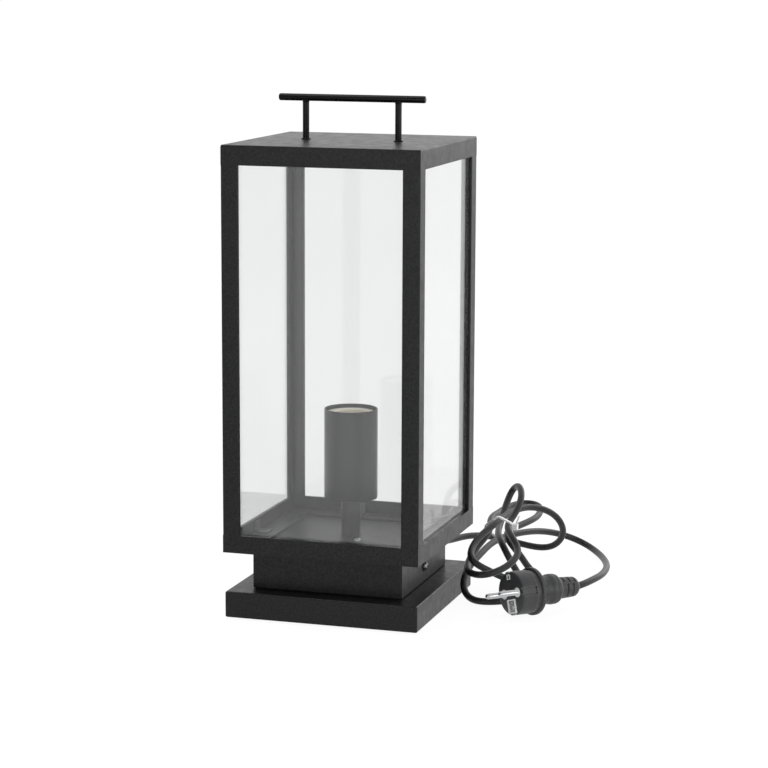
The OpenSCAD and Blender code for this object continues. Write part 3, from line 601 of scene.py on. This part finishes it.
def on_weld(p, seam):
    """Whether a point lies where a post is welded to the frame, on the outer wall."""
    return on_level(p, seam) and reach(p) > WALL and min(abs(p.x), abs(p.y)) > FLANGE + SAME


def roof_stays(p):
    return on_level(p, ROOF_SEAM) or reach(p) < 0.08


def top_stays(p):
    return on_level(p, ROOF_SEAM) or on_weld(p, TOP_SEAM) or reach(p) < WALL


def bottom_stays(p):
    return on_weld(p, LOW_SEAM) or reach(p) < 0.0695


def post_stays(p):
    return on_level(p, TOP_SEAM) or on_level(p, LOW_SEAM)


def skirt_stays(p):
    return on_level(p, 0.06) or reach(p) < 0.0645


rounded("roof_plate", EDGE, skip=roof_stays)
rounded("top_frame", EDGE, [*FRAME_CUTS, ((0, 0, TOP_SEAM + TURN), (0, 0, 1))], top_stays)
rounded("bottom_frame", EDGE, [*FRAME_CUTS, ((0, 0, LOW_SEAM - TURN), (0, 0, 1))], bottom_stays)
for corner in ("front_left", "front_right", "back_left", "back_right"):
    rounded("post_" + corner, EDGE, skip=post_stays)
rounded("neck_skirt", 0.0008, skip=skirt_stays)
rounded("base_shell", 0.0015, skip=lambda p: reach(p) < 0.0835)
rounded("floor_ledge", 0.0004, segments=2)
rounded("base_cover", 0.0004, segments=2)
rounded("glass_clips_low", 0.0003, segments=2)
rounded("glass_clips_high", 0.0003, segments=2)
for side in ("left", "right"):
    rounded("neck_washer_" + side, 0.00015, segments=2)

# ---- Handle ----
POST_X = 0.0405  # each handle post's distance from the lamp's axis
bar = [
    (0, 0), (2.2, 0.02), (2.6, 0.2), (2.88, 0.6), (3, 1.2), (3, 126.8), (2.88, 127.4), (2.6, 127.8),
    (2.2, 127.98), (0, 128)]
bar_place = Matrix.Translation((-0.064, 0, 0.432)) @ Matrix.Rotation(math.radians(90), 4, "Y")
turned("handle_bar_turned", bar, COAT_BAR, "handle_bar", bar_place)
post = [
    (0, 391.5), (2, 391.5), (2, 397.4), (2.75, 397.8), (2.75, 427), (2.8, 428), (2.95, 428.9),
    (3.2, 429.6), (3.2, 430.2), (0, 430.2)]
for name, side in (("handle_post_left", -1), ("handle_post_right", 1)):
    turned(name + "_turned", post, COAT_BAR, name, Matrix.Translation((side * POST_X, 0, 0)), 48)
washer = [(2.05, 397), (4, 397), (4, 397.7), (3.7, 398), (2.7, 398), (2.05, 397.9)]
washer_bm = bmesh.new()
for side in (-1, 1):
    washer_place = Matrix.Translation((side * POST_X, 0, 0))
    close_rings(washer_bm, lathe(washer_bm, washer, 48, washer_place))
put(as_piece("handle_collars", washer_bm), COAT_BAR, "handle_washers")

# ---- Lampholder: sleeve, ceramic and rolled screw shell ----
sleeve = [
    (5.2, 92.5), (21.9, 92.5), (22.5, 92.75), (22.75, 93.4), (22.75, 169.3), (22.6, 169.8),
    (22.25, 170), (21.9, 169.8), (21.75, 169.3), (21.75, 93.5), (5.2, 93.5)]
turned("lampholder_sleeve", sleeve, COAT_SLEEVE, "holder_cup", None, 144, closed=True)
core = [
    (5.3, 93.5), (21.5, 93.5), (21.5, 165.8), (21.2, 166.6), (20.4, 167), (16, 167), (15.2, 166.8),
    (14.75, 166.2), (14.7, 139), (11, 139), (11, 134), (3.6, 134), (3.6, 128), (5.3, 128)]
turned("lampholder_ceramic", core, CERAMIC, "lampholder_core", None, 120, closed=True)


def thread_rings(low, high, pitch, root, crest, count, rows):
    """A thin tube rolled into a round thread, with its outside and its inside."""
    bm = bmesh.new()
    grid = []
    for side, offset in ((0, 0.0), (1, 1.0)):
        for j in range(rows + 1):
            z = low + (high - low) * (j if side == 0 else rows - j) / rows
            ring = []
            for k in range(count):
                a = 2 * math.pi * k / count
                wave = 0.5 + 0.5 * math.cos(2 * math.pi * (z / pitch) - a)
                ends = min(1, (z - low) / 1.5, (high - z) / 1.5)
                r = root - (root - crest) * wave * max(ends, 0) + offset
                ring.append(bm.verts.new((r * MM * math.cos(a), r * MM * math.sin(a), z * MM)))
            grid.append(ring)
    for a, b in zip(grid, grid[1:] + grid[:1]):
        for k in range(count):
            n = (k + 1) % count
            bm.faces.new((a[k], a[n], b[n], b[k]))
    return bm


shell = as_piece("screw_shell", thread_rings(139, 163, 3.62, 13.4, 12.4, 96, 84), 50)
put(shell, BRASS, "thread_shell")
stem = [(5.25, 59.7), (8.15, 59.7), (8.25, 59.9), (8.25, 91.9), (8.1, 92.4), (5.25, 92.5)]
turned("lamp_stem_turned", stem, COAT_SLEEVE, "lamp_stem", None, 72, closed=True)
earth = [(0, 53.7), (1.5, 53.7), (1.5, 59.7), (3, 59.7), (3, 60.4), (2.7, 61.2), (1.9, 61.6), (0, 61.7)]
earth_place = Matrix.Translation((0.012, -0.019, 0))
turned("earth_screw_turned", earth, ZINC, "earth_screw", earth_place, 40)

# ---- Floor, world and lamps ----
FLOOR_SHARE = 0.9  # share of plain white in the floor, for rays that make up the picture
FLOOR_WHITE = 1.04  # strength of that white


def floor_paper():
    """Pale paper, mostly plain white to the camera and to rays through glass or off a gloss."""
    m = Nodes("floor_paper")
    m.set(Roughness=0.8, Specular_IOR_Level=0.2)
    m.feed(Base_Color=m.ramp(m.noise(40), [(0.3, (0.94, 0.94, 0.94)), (0.7, (0.95, 0.95, 0.95))]))
    path = m.add("ShaderNodeLightPath")
    seen = m.add("ShaderNodeMath", operation="MAXIMUM")
    m.link(path.outputs["Is Camera Ray"], seen.inputs[0])
    m.link(path.outputs["Is Transmission Ray"], seen.inputs[1])
    also = m.add("ShaderNodeMath", operation="MAXIMUM")
    m.link(seen.outputs[0], also.inputs[0])
    m.link(path.outputs["Is Glossy Ray"], also.inputs[1])
    share = m.add("ShaderNodeMath", operation="MULTIPLY")
    share.inputs[1].default_value = FLOOR_SHARE
    m.link(also.outputs[0], share.inputs[0])
    white = m.add("ShaderNodeEmission")
    white.inputs[0].default_value = (1, 1, 1, 1)
    white.inputs[1].default_value = FLOOR_WHITE
    mix = m.add("ShaderNodeMixShader")
    m.link(share.outputs[0], mix.inputs[0])
    m.link(m.bsdf.outputs[0], mix.inputs[1])
    m.link(white.outputs[0], mix.inputs[2])
    m.link(mix.outputs[0], m.out.inputs["Surface"])
    return m.mat


def studio_world():
    """A room that is darker in front and lighter behind, and plain white to camera and glass."""
    world = bpy.data.worlds.new("studio")
    world.use_nodes = True
    tree = world.node_tree
    tree.nodes.clear()
    out = tree.nodes.new("ShaderNodeOutputWorld")
    studio = tree.nodes.new("ShaderNodeBackground")
    studio.inputs[1].default_value = 0.65
    clean = tree.nodes.new("ShaderNodeBackground")
    clean.inputs[0].default_value = (1, 1, 1, 1)
    clean.inputs[1].default_value = 1.0
    place = tree.nodes.new("ShaderNodeTexCoord")
    split = tree.nodes.new("ShaderNodeSeparateXYZ")
    tree.links.new(place.outputs["Generated"], split.inputs[0])
    fade = tree.nodes.new("ShaderNodeMapRange")
    fade.interpolation_type = "SMOOTHSTEP"
    for key, value in (("From Min", -0.95), ("From Max", 0.6), ("To Min", 0.35), ("To Max", 1.75)):
        fade.inputs[key].default_value = value
    tree.links.new(split.outputs["Y"], fade.inputs["Value"])
    tree.links.new(fade.outputs[0], studio.inputs[0])
    rays = tree.nodes.new("ShaderNodeLightPath")
    either = tree.nodes.new("ShaderNodeMath")
    either.operation = "MAXIMUM"
    tree.links.new(rays.outputs["Is Camera Ray"], either.inputs[0])
    tree.links.new(rays.outputs["Is Transmission Ray"], either.inputs[1])
    pick = tree.nodes.new("ShaderNodeMixShader")
    tree.links.new(either.outputs[0], pick.inputs[0])
    tree.links.new(studio.outputs[0], pick.inputs[1])
    tree.links.new(clean.outputs[0], pick.inputs[2])
    tree.links.new(pick.outputs[0], out.inputs[0])
    return world


floor_bm = bmesh.new()
bmesh.ops.create_grid(floor_bm, x_segments=1, y_segments=1, size=45)
floor = as_piece("floor", floor_bm, 0)
scene.collection.objects.link(floor)
floor.location.z = -0.0002
dress(floor, floor_paper())
scene.world = studio_world()


def softbox(name, place, target, width, height, radiance):
    """A rectangular lamp of even radiance, turned towards target."""
    data = bpy.data.lights.new(name, "AREA")
    data.shape = "RECTANGLE"
    data.size, data.size_y = width, height
    data.energy = radiance * math.pi * width * height
    lamp = bpy.data.objects.new(name, data)
    lamp.location = place
    lamp.rotation_mode = "QUATERNION"
    lamp.rotation_quaternion = (Vector(place) - Vector(target)).to_track_quat("Z", "Y")
    lamp.visible_camera = False
    lamp.visible_transmission = False
    scene.collection.objects.link(lamp)


softbox("side_softbox", (1.5, -0.35, 0.4), (0, 0, 0.2), 1.1, 0.75, 3.4)
softbox("front_softbox", (0.2, -3.6, 0.7), (0, 0, 0.3), 2.6, 1.1, 3.2)
softbox("back_softbox", (0.85, 2.1, 0.88), (0, 0, 0.3), 1.7, 1.2, 1.4)
softbox("top_softbox", (-0.45, -0.35, 1.7), (0, 0, 0.2), 0.8, 0.8, 4.0)

scene.view_settings.view_transform = "Standard"
